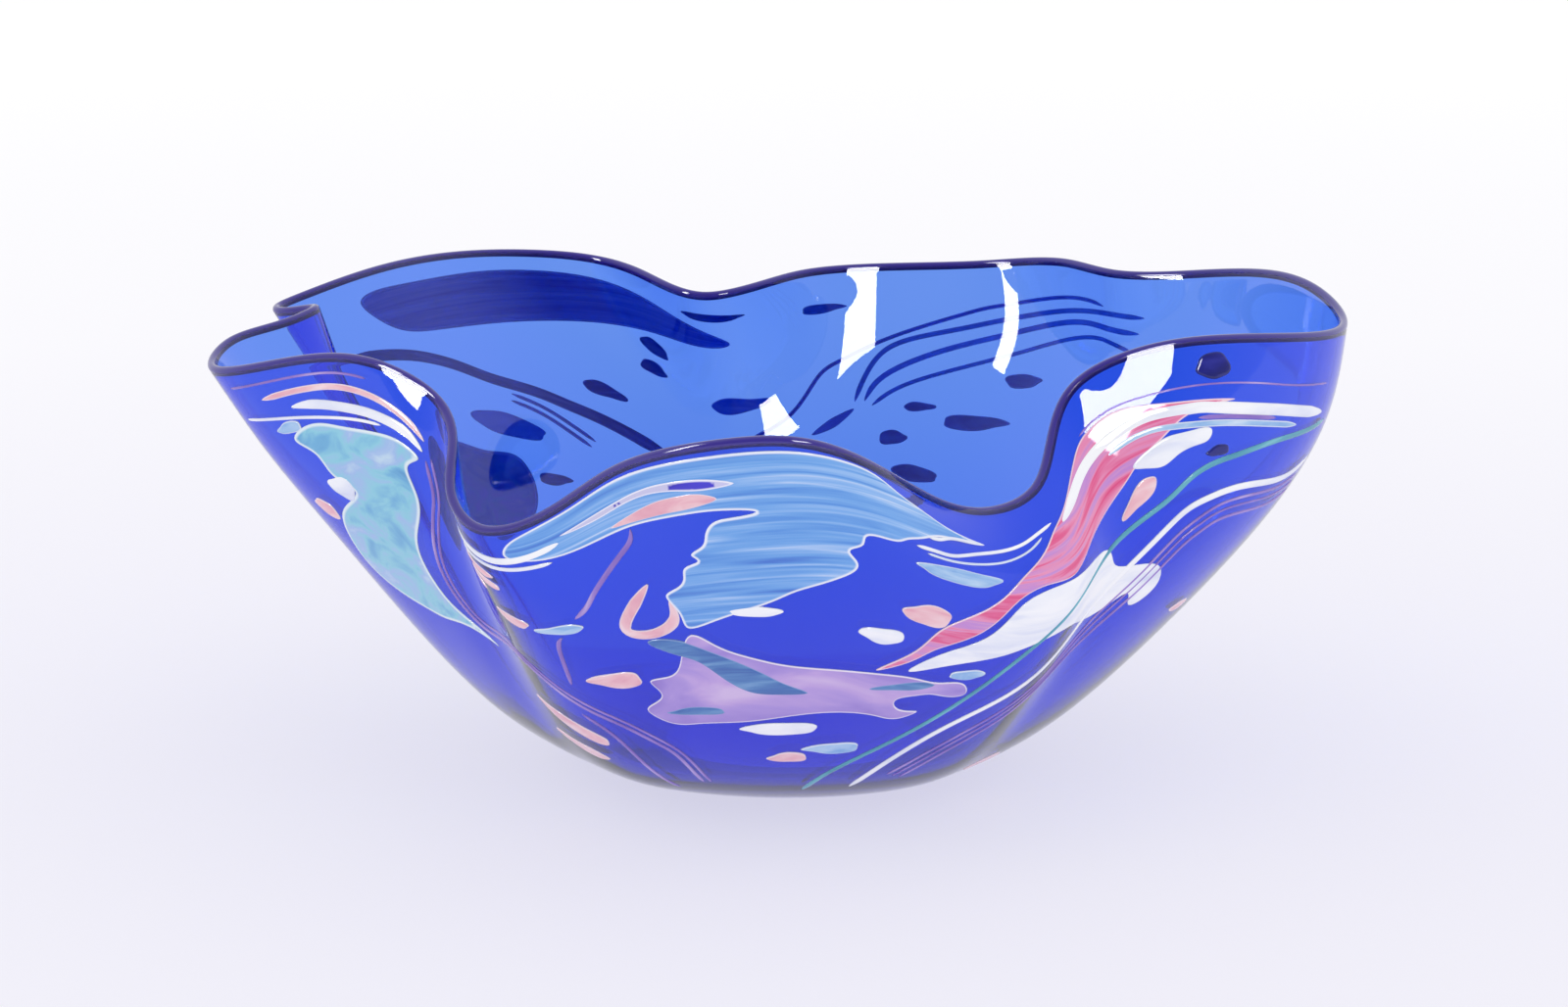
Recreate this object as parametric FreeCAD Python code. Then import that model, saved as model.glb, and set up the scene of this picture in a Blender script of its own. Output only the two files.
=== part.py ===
"""Ruffled art glass bowl: one thick blown bowl, with glass shards, canes and chips fused to it.

Frame: origin at the middle of the foot, on the surface that the bowl stands on, +Z up.
A place on the wall is given by its turn, in degrees round the bowl from +X, and its share,
in percent of the way up the wall from the foot to the rim.
"""
import FreeCAD, Part
import math
import os

Vector = FreeCAD.Vector
Vector2d = FreeCAD.Base.Vector2d

# ---------------------------------------------------------------- driving dimensions, mm

DIMENSIONS = [
    ("foot_radius", 48.0, "flat foot that the bowl stands on"),
    ("base_thickness", 9.0, "glass over the foot"),
    ("low_wall", 6.0, "wall just above the foot"),
    ("rim_wall", 3.4, "wall at the rim"),
    ("turned_radius", 188.0, "radius of the plain bowl before the rim was waved"),
    ("turned_height", 162.0, "height of the plain bowl before the rim was waved"),
    ("start_turn", -1.0, "turn at which the rim list starts, degrees"),
    ("belly_shift", 3.0, "how far the belly leans towards +X"),
    ("flare_shift", -4.0, "how far the lip leans back"),
    ("squeeze", -0.02, "narrowing of the belly along X, as a share"),
    ("wave_power", 1.9, "how fast the rim's waves die out down the wall"),
    ("inlay_depth", 1.0, "depth of the shards melted into the wall"),
    ("trail_height", 0.35, "height of the canes and chips over the wall"),
]

# Plain bowl between foot and rim: share of the wall as a fraction, radius and height.
PROFILE = [
    (0.06, 66, 4),
    (0.16, 87, 11),
    (0.30, 112, 27),
    (0.46, 142, 59),
    (0.64, 168, 95),
    (0.82, 184, 129),
]

# The waved rim, as x, y, z, anticlockwise from the right tip.
RIM = [
    (208, 0, 169), (201, 50, 176), (164, 112, 171), (134, 134, 168),
    (116, 158, 169), (80, 186, 164), (5, 174, 162), (-21, 150, 159),
    (-33, 144, 158), (-62, 167, 164), (-86, 186, 167), (-121, 182, 169),
    (-156, 152, 170), (-197, 101, 163), (-206, 87, 160), (-200, 75, 161),
    (-188, 64, 164), (-194, 49, 162), (-214, 23, 158), (-218, -6, 153),
    (-172, -55, 165), (-144, -76, 165), (-125, -90, 155), (-120, -105, 143),
    (-119, -124, 129), (-108, -142, 121), (-88, -157, 127), (-61, -181, 148),
    (-31, -204, 161), (-3, -208, 164), (42, -166, 140), (70, -135, 127),
    (85, -119, 132), (97, -95, 160), (119, -87, 172), (153, -72, 175),
]

# Shards: outlines as (turn, share).
SHARDS = {
    "front_blue_shard": [
        (243, 97.6), (249, 98.3), (256, 98.5), (264, 98.5), (272, 98.5), (280, 98.3),
        (284.5, 97.4), (287, 95.6), (289.7, 94.2), (292, 92.8), (295, 91.4), (298, 90.1),
        (293.3, 89.3), (290, 88), (287.5, 86.2), (285.5, 85), (284.5, 84.2), (281.5, 83.9),
        (279.9, 83.3), (279.4, 81.6), (277.7, 79.9), (278.4, 78), (276, 74), (273.5, 72.4),
        (271.4, 71.2), (269.3, 69.6), (266.5, 68), (264, 66.8), (262, 65.8), (258.7, 65.2),
        (258.2, 68.5), (257.3, 73), (259, 74.2), (260, 75.8), (260.6, 78), (262.3, 79.2),
        (261.8, 80.2), (263.2, 81.8), (264, 84), (265, 86), (268, 86.9), (269.4, 87.4),
        (267, 88.2), (263.5, 88.4), (260, 88.4), (256, 88.6), (251, 88.6), (246, 89), (242, 90.4),
        (240, 92.5), (240.5, 95), (242, 97),
    ],
    "left_teal_shard": [
        (200, 87.6), (205, 87.3), (211, 87), (215, 86.4), (216.2, 85.3), (214.3, 82.3),
        (214.2, 79.9), (214.5, 76.4), (213.3, 71.6), (210.3, 63.9), (211.5, 56.2), (215, 53),
        (220, 50.2), (215, 51), (207.3, 51), (203, 52.3), (199.6, 54), (195, 60), (195.4, 65),
        (197, 69), (200, 72), (203, 74.7), (200.6, 77.6), (199.5, 82.1), (197.4, 85),
    ],
    "lavender_shard": [
        (259, 63.4), (261.7, 61), (265.8, 57.8), (269.5, 55.9), (276.2, 54.6), (283, 54.2),
        (288, 53.8), (292, 53.2), (296.5, 52.4), (297, 51), (294, 49.8), (291.5, 50.2),
        (288.6, 49.6), (286, 47.8), (286.6, 46.8), (290.3, 46), (288.5, 44.6), (284, 44.6),
        (273.3, 44.7), (265.2, 43.3), (257.5, 43), (251.8, 44.3), (249.9, 47.2), (252.8, 50.2),
        (251.6, 53.6), (254.8, 54.5), (257.2, 59.4),
    ],
    "white_shard": [
        (309.3, 75.6), (314.5, 72.9), (318.8, 69.6), (320.5, 65.6), (322.4, 64), (326.5, 62.5),
        (330.2, 60), (331, 57), (326.9, 54.8), (325.8, 57), (322.5, 56.6), (315.8, 58),
        (308.6, 62.5), (300.7, 60.5), (291.8, 57.2), (286.5, 55.4), (290, 59.5), (293.5, 62.3),
        (297, 65.6), (299.6, 70.4), (302.2, 75), (304.6, 76.5),
    ],
    "magenta_shard": [
        (336, 89.6), (330.2, 90.4), (327.3, 91), (324.6, 92), (322.6, 92.7), (319.2, 93.1),
        (317, 93.4), (315, 93.2), (312.5, 92.6), (310, 91.6), (307.8, 90.2), (306, 87.5),
        (304, 84.5), (302, 81.8), (299.2, 77), (295.5, 72), (292, 68.5), (289.5, 65.5),
        (287.5, 61.5), (284, 57.2), (281.8, 55), (285.8, 57), (289.3, 60.6), (293, 63.6),
        (296.3, 67), (298.9, 71.5), (301.5, 76), (304.6, 77.9), (309.3, 76.7), (313, 78.3),
        (317.5, 78.8), (321.5, 80.8), (323.3, 82.8), (326.4, 85.3), (330, 88.1),
    ],
    "back_left_shard": [
        (146.5, 94.5), (140, 96.3), (127, 96.5), (116, 96), (109, 94.5), (102, 92), (96, 87.7),
        (104.5, 85.5), (117.5, 85.7), (129.5, 85.8), (137.3, 86.2), (142.4, 87.7), (145.2, 91),
    ],
    "left_inner_shard": [
        (146, 66.5), (139, 63), (133.5, 60), (132.8, 57), (133.5, 53), (136, 50), (142, 48),
        (149, 49), (151, 54), (149, 60),
    ],
}

# Canes: a route of (turn, share) and one (offset, width) in mm for each strand along it.
CANES = {
    "right_white_cane": (
        [(354, 76.5), (347.5, 73.7), (339, 73.6), (333.2, 72.4), (329.6, 70.5), (325.2, 65.3),
         (319, 59.5), (312.5, 55.2), (305.5, 49), (296.6, 42), (288.6, 32), (284.6, 23.5)],
        [(0, 2.8)]),
    "right_lavender_canes": (
        [(352, 73.5), (346.3, 71.8), (337.7, 71.2), (333, 69), (329.8, 66), (325.5, 60),
         (320, 55), (313.5, 50), (305.5, 44), (297.5, 37), (291, 29)],
        [(0, 1.2), (3.2, 0.8), (7, 1.2)]),
    "right_teal_cane": (
        [(354, 83.5), (349, 82.4), (342.5, 81.3), (337, 79.8), (333.2, 78.8), (329.8, 76.9),
         (326.4, 73.6), (320.4, 70.7), (314.2, 68.6), (309.6, 66.8), (304.5, 61), (297.5, 49.5),
         (289.2, 39.7), (279.6, 30.7), (274.6, 22)],
        [(0, 2.2)]),
    "left_bundle_canes": (
        [(217.3, 85.5), (217.5, 80), (216.6, 75.5), (215, 70), (213.6, 63.5), (214.4, 57),
         (218, 53), (223.5, 53.5), (230.8, 55), (235.6, 52), (240, 47.4), (244.6, 43.4),
         (249.1, 39), (252.5, 34.5), (254.8, 26)],
        [(0, 1.6), (3, 1.2)]),
    "left_branch_cane": (
        [(238.5, 45.8), (241.5, 42), (243.6, 37), (245.5, 30), (248, 22)],
        [(0, 1.6)]),
    "lavender_squiggle": (
        [(255.8, 88.2), (255.3, 86), (253.6, 84), (250.8, 81), (248.2, 77.5), (246.6, 74.8),
         (244.6, 72.6)],
        [(0, 1.8)]),
    "lavender_squiggle_tail": (
        [(241.8, 67.8), (240.7, 65), (240, 58), (239.6, 54)],
        [(0, 1.8)]),
    "rim_white_bands": (
        [(226.5, 87.6), (229, 89.2), (233, 90.2), (238, 90.7), (243, 91.4), (247, 92.3)],
        [(0, 2.4)]),
    "rim_white_line": (
        [(231, 86.8), (235, 88), (240, 88.4), (245, 88.2)],
        [(0, 1.4)]),
    "saddle_white_line": (
        [(286.8, 84.5), (290, 84.6), (292.6, 85), (296.2, 87.1), (300.1, 88.7), (303.2, 89.9),
         (305.5, 91.2), (307.7, 91.8)],
        [(0, 1.2)]),
    "lobe_white_band": (
        [(352, 85.4), (344, 86.8), (340, 87.4), (335, 88.2), (332, 88.9), (329.8, 89.1),
         (327.2, 89.4), (325, 89.6), (322.7, 89.4), (320.5, 89.3), (318.2, 89.5), (316.2, 90),
         (313.7, 90.5), (311, 90.4), (308.5, 89.8)],
        [(0, 4.4)]),
    "lobe_lavender_band": (
        [(342, 85.6), (338, 86.2), (334, 86.8), (331, 87.2)],
        [(0, 1.6)]),
    "lobe_lavender_lines": (
        [(352, 90.9), (345, 91.3), (340, 92), (335, 92.5), (330.5, 92.7), (326.5, 92.9),
         (323.5, 93.2), (319.5, 93.6), (317.5, 94)],
        [(0, 0.7)]),
    "back_ribbon": (
        [(153, 86), (144, 83.2), (137, 79), (132.4, 75.3), (127, 72), (123, 69), (119, 66),
         (113.2, 61.4), (109.5, 59)],
        [(0, 5)]),
    "back_ribbon_strands": (
        [(131, 70.8), (127.3, 67.8), (124.2, 64.2), (121.5, 60.8)],
        [(0, 1.6), (-3.4, 1.6)]),
    "fan_thread_a": (
        [(96, 65.5), (90, 70), (85.4, 76.8), (81.3, 79.8), (74.3, 84.3), (65, 89.4), (59.7, 91),
         (49.8, 92.8), (45.3, 92.4)],
        [(0, 1.7)]),
    "fan_thread_b": (
        [(80.4, 70.6), (79, 75), (75.7, 81.2), (70.4, 84.4), (65.2, 86.2), (60, 87.8),
         (50.7, 89.9), (45, 91), (39.5, 91)],
        [(0, 2.2)]),
    "fan_thread_c": (
        [(79, 70.6), (76.4, 75.5), (70.5, 80), (65.4, 82.6), (60, 84.6), (50.2, 87.6), (45, 87.8),
         (40.3, 87.6)],
        [(0, 2.4)]),
    "fan_thread_d": (
        [(78, 69.6), (74.6, 73), (69, 76.2), (62.2, 79.2), (57.7, 81), (49.2, 84.6), (44.8, 85),
         (41, 83.5)],
        [(0, 1.8)]),
    "fan_trunk": (
        [(87.2, 64.6), (83.7, 66.6), (80.6, 69)],
        [(0, 4)]),
    "pink_loop": (
        [(255.4, 76), (252.2, 71.5), (250.6, 67), (253.8, 64.9), (257.2, 67), (257.4, 71.5)],
        [(0, 4.2)]),
    "lobe_blue_band": (
        [(346, 83.9), (342, 84.5), (338, 85.1), (334, 85.7), (331, 86.1), (328.3, 86.6),
         (325, 87.2), (321.9, 87.1), (319.6, 87)],
        [(0, 2.4)]),
    "saddle_white_upper": (
        [(289.2, 87.5), (291.2, 88.2), (293.3, 89.6), (297, 90.1)],
        [(0, 1.2)]),
    "saddle_blue_line": (
        [(288.2, 83.4), (292, 83.4), (296, 84.4), (300, 85.8), (303.5, 87.8), (305.8, 90)],
        [(0, 0.8)]),
    "left_white_leaf": (
        [(199.2, 91.5), (202, 91.6), (205, 91.1), (207.5, 90.7), (210, 90.4), (212.4, 90),
         (214.6, 89.4), (216, 88.3), (217, 87)],
        [(0, 3.6)]),
    "left_pink_leaf": (
        [(195.5, 93.7), (199, 94.3), (202, 94.6), (205, 94.7), (208, 94.4), (210.7, 93.8),
         (212.8, 93.1), (214.6, 92.2), (216.2, 91), (217.5, 89.4)],
        [(0, 2.4)]),
    "left_lavender_line": (
        [(191, 96.6), (196, 96.9), (202, 97.2), (207, 97.2), (210.5, 96.8)],
        [(0, 0.9)]),
    "left_white_line": (
        [(190.5, 89.8), (195, 89.7), (200, 89.3), (205, 88.8), (211.5, 88.6)],
        [(0, 1.2)]),
}

# Leaves: thin pieces that were pulled into a point, as outlines of (turn, share).
LEAVES = {
    "blue_feather": [
        (252.9, 63.2), (256.3, 62.9), (259.5, 60.8), (263.6, 57.5), (267.6, 54), (270.8, 51.2),
        (273.2, 49.5), (269.6, 49.1), (265.4, 50.1), (262.4, 53), (259.2, 57.2), (255.4, 60),
    ],
    "rim_finger": [
        (247, 93.6), (252, 94.2), (256, 94.6), (260, 95.1), (264, 94.9), (267.3, 94),
        (268.4, 93.2), (266.8, 92.5), (263, 92.9), (260, 93.5), (256, 93.2), (251, 92.8),
    ],
    "rim_pink_band": [
        (253.5, 89.9), (256.5, 91), (260, 92), (263, 92.2), (265.6, 91.6), (266.4, 90.8),
        (264.6, 89.6), (261, 89.2), (257, 89.2),
    ],
    "lobe_white_chip": [
        (322.4, 82.4), (325, 84.6), (327, 85.3), (329.8, 85.3), (332.6, 84.6), (332.2, 83.3),
        (330.8, 82.6), (328, 81.7), (326.2, 80.5), (324, 81.2),
    ],
}

# Chips: (turn, share, length, width, tilt up towards +turn).
CHIPS = {
    "left_pink_chips": [
        (195, 71.2, 14, 7, -30), (234, 41.4, 34, 8, -24), (231.7, 34.5, 26, 6, -14),
        (246.5, 55, 22, 8, -4), (235.2, 70.7, 18, 5, 0),
    ],
    "saddle_pink_chips": [
        (233.5, 84, 22, 2.8, 2), (234, 81, 20, 3, 0), (231.2, 77.8, 13, 3, -14),
    ],
    "centre_pink_chip": [
        (271.2, 34.7, 14, 7, 5),
    ],
    "right_pink_chips": [
        (287.6, 68.8, 23, 8, -4), (322.8, 76.6, 20, 6.5, 28), (322, 21, 17, 7, 10),
        (343, 50.5, 12, 5, 10),
    ],
    "white_chips": [
        (201, 75.4, 15, 9, -14), (281.6, 62.8, 19, 7, -8), (269.6, 41.6, 27, 8, 0),
        (267, 67.5, 18, 5, -4),
    ],
    "light_blue_chips": [
        (197.4, 87.6, 15, 4.6, 6), (241.9, 70, 22, 4, 2), (278.3, 37, 20, 7.5, 4),
        (292.4, 80, 42, 5, 0), (295.6, 55.4, 15, 5, 4),
    ],
    "steel_blue_chips": [
        (257.5, 46, 22, 5, 0), (286.5, 51.7, 25, 4.6, 10),
    ],
    "dark_blue_chips": [
        (334, 95.6, 15, 9.5, 0), (333.4, 80.9, 11, 4, 4),
    ],
    "back_left_chips": [
        (107.8, 81.8, 16, 5.5, 24), (109, 77, 14, 5, 20), (117.2, 71.5, 21, 5.5, 24),
        (129, 55.7, 16, 5.5, 12), (97, 94, 24, 3.6, 0),
    ],
    "back_leaf_chip": [
        (132.9, 66.4, 36, 11, 24),
    ],
    "back_centre_chips": [
        (97, 72.5, 24, 6.5, -8), (82.3, 91.6, 22, 4, 0),
    ],
    "back_right_chips": [
        (74.9, 63, 12, 6.5, 0), (71.6, 69.2, 14, 4, 0), (63.7, 66.1, 30, 7, 0),
        (57.9, 74.6, 18, 6.5, 0), (70.8, 56, 20, 7.5, 12),
    ],
}

# ---------------------------------------------------------------- how finely curves are cut

STEPS_ROUND = 180     # patches round the bowl
STEPS_UP = 20         # patches up the wall
STEPS_LIP = 4         # patches over the rounded lip
STRAND_STEPS = 3      # points per route span of a cane
CHIP_POINTS = 12      # points round a chip
SEW_TOLERANCE = 0.02  # mm
PATCH_MARGIN = 0.003  # of the way round or up, kept free round an outline


# ---------------------------------------------------------------- smooth curves

def solve(matrix, column):
    """Solve a small set of linear equations by elimination."""
    size = len(column)
    rows = [list(matrix[i]) + [column[i]] for i in range(size)]
    for i in range(size):
        lead = max(range(i, size), key=lambda k: abs(rows[k][i]))
        rows[i], rows[lead] = rows[lead], rows[i]
        for k in range(i + 1, size):
            ratio = rows[k][i] / rows[i][i]
            if ratio:
                rows[k] = [a - ratio * b for a, b in zip(rows[k], rows[i])]
    answer = [0.0] * size
    for i in reversed(range(size)):
        known = sum(rows[i][k] * answer[k] for k in range(i + 1, size))
        answer[i] = (rows[i][size] - known) / rows[i][i]
    return answer


def spline(places, values, period=None):
    """Smooth curve through values at places: closed if it has a period, else straight-ended."""
    count = len(places)
    knots = list(places) + ([places[0] + period] if period else [])
    steps = [b - a for a, b in zip(knots, knots[1:])]
    matrix = [[0.0] * count for _ in range(count)]
    column = [0.0] * count
    for i in range(count):
        if not period and i in (0, count - 1):
            matrix[i][i] = 1.0
            continue
        before, after = steps[i - 1], steps[i]
        ahead = (i + 1) % count
        matrix[i][i - 1] += before
        matrix[i][i] += 2 * (before + after)
        matrix[i][ahead] += after
        rise = (values[ahead] - values[i]) / after
        column[i] = 6 * (rise - (values[i] - values[i - 1]) / before)
    bend = solve(matrix, column)

    def value(place):
        if period:
            place = places[0] + (place - places[0]) % period
        k = max(i for i in range(len(steps)) if knots[i] <= place or i == 0)
        ahead = (k + 1) % count
        step = steps[k]
        b = (place - knots[k]) / step
        a = 1 - b
        curve = (a ** 3 - a) * bend[k] + (b ** 3 - b) * bend[ahead]
        return a * values[k] + b * values[ahead] + curve * step ** 2 / 6

    return value


def rim_curve():
    """The rim as a closed smooth curve, with its length run as 0 to 1."""
    points = [Vector(*station) for station in RIM]
    gaps = [(b - a).Length for a, b in zip(points, points[1:] + points[:1])]
    total = sum(gaps)
    places = [sum(gaps[:k]) / total for k in range(len(points))]
    axes = [spline(places, [point[k] for point in points], 1.0) for k in range(3)]
    return lambda run: Vector(*[axis(run) for axis in axes])


# ---------------------------------------------------------------- the bowl's surfaces

class Wall:
    """The bowl's outer surface and the surfaces at a depth or height from it."""

    def __init__(self, size):
        self.size = size
        self.rim = rim_curve()
        foot = (0.0, size["foot_radius"], 0.0)
        turned_edge = (1.0, size["turned_radius"], size["turned_height"])
        rows = [foot] + PROFILE + [turned_edge]
        shares = [row[0] for row in rows]
        self.radius = spline(shares, [row[1] for row in rows])
        self.height = spline(shares, [row[2] for row in rows])
        self.kept = {}

    def point(self, run, share):
        """Outer surface at a run round the bowl (0 to 1) and a share of the wall (0 to 1)."""
        key = (round(run % 1.0, 9), round(share, 9))
        if key in self.kept:
            return self.kept[key]
        size = self.size
        angle = 2 * math.pi * run + math.radians(size["start_turn"])
        out = Vector(math.cos(angle), math.sin(angle), 0)
        bulge = math.sin(math.pi * share)
        radius = self.radius(share)
        plain = Vector(radius * out.x * (1 + size["squeeze"] * bulge), radius * out.y,
                       self.height(share))
        edge = out * size["turned_radius"] + Vector(0, 0, size["turned_height"])
        wave = (self.rim(run) - edge) * max(share, 0.0) ** size["wave_power"]
        lean = size["belly_shift"] * bulge + size["flare_shift"] * math.sin(2 * math.pi * share)
        place = plain + wave + Vector(lean, 0, 0)
        self.kept[key] = place
        return place

    def slopes(self, run, share):
        """Change of place per unit of run and of share."""
        step = 0.0005
        share = min(max(share, step), 1.0)
        round_bowl = (self.point(run + step, share) - self.point(run - step, share)) / (2 * step)
        low = self.point(run, share - step)
        high = self.point(run, min(share + step, 1.0))
        up_wall = (high - low) / (min(share + step, 1.0) - share + step)
        return round_bowl, up_wall

    def normal(self, run, share):
        round_bowl, up_wall = self.slopes(run, share)
        return round_bowl.cross(up_wall).normalize()

    def off(self, run, share, gap):
        """Point at a gap outside the outer surface, or inside it where gap is negative."""
        return self.point(run, share) + self.normal(run, share) * gap

    def thickness(self, share):
        """Wall thickness: thick at the base, even up the side."""
        size = self.size
        thin = size["rim_wall"] + (size["low_wall"] - size["rim_wall"]) * (1 - share) ** 2
        base = size["base_thickness"] - size["low_wall"]
        return thin + base * max(0.0, 1 - share / 0.2) ** 2

    def inner(self, run, share):
        return self.off(run, share, -self.thickness(share))

    def lip(self, run, share):
        """Rounded lip, from the outer surface (0) over the top to the inner surface (1)."""
        across = self.normal(run, 1.0)
        round_bowl, up_wall = self.slopes(run, 1.0)
        up = across.cross(round_bowl).normalize()
        if up.dot(up_wall) < 0:
            up = up * -1
        half = self.size["rim_wall"] / 2
        middle = self.point(run, 1.0) - across * half
        angle = math.pi * share
        return middle + across * (half * math.cos(angle)) + up * (half * math.sin(angle))


def patchwork(place, rows):
    """Smooth closed-round surface through place(run, share), its parameters run and share.

    Each pole is the point at its own parameters, less a sixth of the local bend.
    """
    around = 1.0 / STEPS_ROUND
    step = 1.0 / rows
    knots = [0.0] * 3 + [k * step for k in range(rows + 1)] + [1.0] * 3
    points = []
    for i in range(STEPS_ROUND):
        run = i * around
        points.append([])
        for k in range(rows + 3):
            a, b, c = knots[k + 1:k + 4]
            share = (a + b + c) / 3
            here = place(run, share)
            bend = place(run + around, share) - here * 2 + place(run - around, share)
            pole = here - bend / 6
            slack = (a * b + b * c + c * a) / 3 - share ** 2
            if slack:
                small = step / 4
                bend_up = place(run, share + small) - here * 2 + place(run, share - small)
                pole += bend_up * (slack / 2 / small ** 2)
            points[i].append(pole)
    surface = Part.BSplineSurface()
    surface.buildFromPolesMultsKnots(
        points, [1] * (STEPS_ROUND + 1), [4] + [1] * (rows - 1) + [4],
        [i * around for i in range(STEPS_ROUND + 1)], [k * step for k in range(rows + 1)],
        True, False, 3, 3)
    return surface


# ---------------------------------------------------------------- outlines on the wall

def on_sheet(points):
    """(turn, share) pairs as surface parameters."""
    return [(turn / 360.0, share / 100.0) for turn, share in points]


def anticlockwise(points):
    area = sum(a[0] * b[1] - b[0] * a[1] for a, b in zip(points, points[1:] + points[:1]))
    return points if area > 0 else points[::-1]


def closed_edges(points):
    """One smooth closed edge through points."""
    curve = Part.Geom2d.BSplineCurve2d()
    curve.interpolate([Vector2d(*point) for point in anticlockwise(points)], PeriodicFlag=True)
    return [curve]


def strip_edges(left, right):
    """Four edges round a strip: its right side, far end, left side and near end."""
    sides = []
    for points in (right, left[::-1]):
        curve = Part.Geom2d.BSplineCurve2d()
        curve.interpolate([Vector2d(*point) for point in points])
        sides.append(curve)
    far = Part.Geom2d.Line2dSegment(Vector2d(*right[-1]), Vector2d(*left[-1]))
    near = Part.Geom2d.Line2dSegment(Vector2d(*left[0]), Vector2d(*right[0]))
    return [sides[0], far, sides[1], near]


def shift(wall, place, along, up):
    """Parameters of the point that lies along and up (mm) from place, on the wall."""
    round_bowl, up_wall = wall.slopes(*place)
    level = round_bowl / round_bowl.Length
    rise = (up_wall - level * up_wall.dot(level)).normalize()
    share_step = up / up_wall.dot(rise)
    run_step = (along - share_step * up_wall.dot(level)) / round_bowl.Length
    return (place[0] + run_step, place[1] + share_step)


def chip_outline(wall, turn, share, length, width, tilt):
    """Rounded chip, a little fatter at one end."""
    place = (turn / 360.0, share / 100.0)
    cosine, sine = math.cos(math.radians(tilt)), math.sin(math.radians(tilt))
    outline = []
    for k in range(CHIP_POINTS):
        angle = 2 * math.pi * k / CHIP_POINTS
        along = length / 2 * math.cos(angle)
        across = width / 2 * math.sin(angle) * (1 + 0.25 * math.cos(angle))
        outline.append(shift(wall, place, along * cosine - across * sine,
                             along * sine + across * cosine))
    return outline


def strand_sides(wall, route, offset, width):
    """Left and right sides of one strand that runs beside a route."""
    places = list(range(len(route)))
    run = spline(places, [point[0] for point in route])
    share = spline(places, [point[1] for point in route])
    left, right = [], []
    count = STRAND_STEPS * (len(route) - 1)
    for k in range(count + 1):
        place = k / STRAND_STEPS
        here = (run(place), share(place))
        back = (run(place - 0.05), share(place - 0.05))
        ahead = (run(place + 0.05), share(place + 0.05))
        way = wall.point(*ahead) - wall.point(*back)
        round_bowl, up_wall = wall.slopes(*here)
        level = round_bowl / round_bowl.Length
        rise = (up_wall - level * up_wall.dot(level)).normalize()
        along, up = way.dot(level), way.dot(rise)
        long = math.hypot(along, up)
        for side, gap in ((left, offset + width / 2), (right, offset - width / 2)):
            side.append(shift(wall, here, -up / long * gap, along / long * gap))
    return left, right


# ---------------------------------------------------------------- solids

def wires(curves, surface):
    edges = [curve.toShape(surface) for curve in curves]
    return Part.Wire(edges)


def patch_under(surface, curves):
    """The patch of a surface that an outline lies on."""
    poles = [pole for curve in curves[::2] for pole in curve.getPoles()]
    runs = [pole.x for pole in poles]
    shares = [pole.y for pole in poles]
    patch = surface.copy()
    patch.setUNotPeriodic()
    patch.segment(max(min(runs) - PATCH_MARGIN, 0.0), min(max(runs) + PATCH_MARGIN, 1.0),
                  max(min(shares) - PATCH_MARGIN, 0.0), min(max(shares) + PATCH_MARGIN, 1.0))
    return patch


def slab(curves, low, high):
    """Closed solid between two surfaces, inside an outline."""
    low, high = patch_under(low, curves), patch_under(high, curves)
    faces = [Part.Face(surface, wires(curves, surface)) for surface in (low, high)]
    for curve in curves:
        faces.append(Part.makeRuledSurface(curve.toShape(low), curve.toShape(high)))
    return sewn(faces)


def sewn(faces):
    """Solid from faces that meet edge to edge."""
    shell = Part.Compound(faces)
    shell.sewShape(SEW_TOLERANCE)
    solid = Part.Solid(shell.Shells[0])
    if solid.Volume < 0:
        solid.reverse()
    return solid


def disc(surface, share):
    """Flat face inside the surface's ring at a share."""
    return Part.Face(Part.Wire([surface.vIso(share).toShape()]))


def level_row(place, share, level):
    """A place function whose row at share is flat at a level."""
    def flattened(run, there):
        point = place(run, there)
        if abs(there - share) < 1e-9:
            point = Vector(point.x, point.y, level)
        return point
    return flattened


def build_body(wall, surfaces, pockets):
    """The blown bowl, with a pocket for each shard."""
    holes = [wires(curves, surfaces["outer"]).reversed() for curves in pockets]
    outer = Part.Face(surfaces["outer"], holes) if holes else surfaces["outer"].toShape()
    faces = [outer, surfaces["lip"].toShape(), surfaces["inner"].toShape(),
             disc(surfaces["outer"], 0.0), disc(surfaces["inner"], 0.0)]
    for curves in pockets:
        faces.append(Part.Face(surfaces["deep"], wires(curves, surfaces["deep"])))
        for curve in curves:
            faces.append(Part.makeRuledSurface(curve.toShape(surfaces["outer"]),
                                               curve.toShape(surfaces["deep"])))
    return sewn(faces)


# ---------------------------------------------------------------- document

def make_sheet(doc):
    sheet = doc.addObject("Spreadsheet::Sheet", "Dimensions")
    for row, (name, value, note) in enumerate(DIMENSIONS, start=1):
        sheet.set("A%d" % row, name)
        sheet.set("B%d" % row, str(value))
        sheet.set("C%d" % row, note)
        sheet.setAlias("B%d" % row, name)
    doc.recompute()
    return {name: float(sheet.get(name)) for name, _, _ in DIMENSIONS}


def add_feature(doc, label, shape):
    feature = doc.addObject("Part::Feature", label)
    feature.Label = label
    feature.Shape = shape
    feature.Placement = FreeCAD.Placement()
    return feature


def make_surfaces(wall, size):
    depth, height = size["inlay_depth"], size["trail_height"]
    inner = level_row(wall.inner, 0.0, size["base_thickness"])
    return {
        "outer": patchwork(wall.point, STEPS_UP),
        "inner": patchwork(inner, STEPS_UP),
        "lip": patchwork(wall.lip, STEPS_LIP),
        "deep": patchwork(lambda run, share: wall.off(run, share, -depth), STEPS_UP),
        "proud": patchwork(lambda run, share: wall.off(run, share, height), STEPS_UP),
    }


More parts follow.
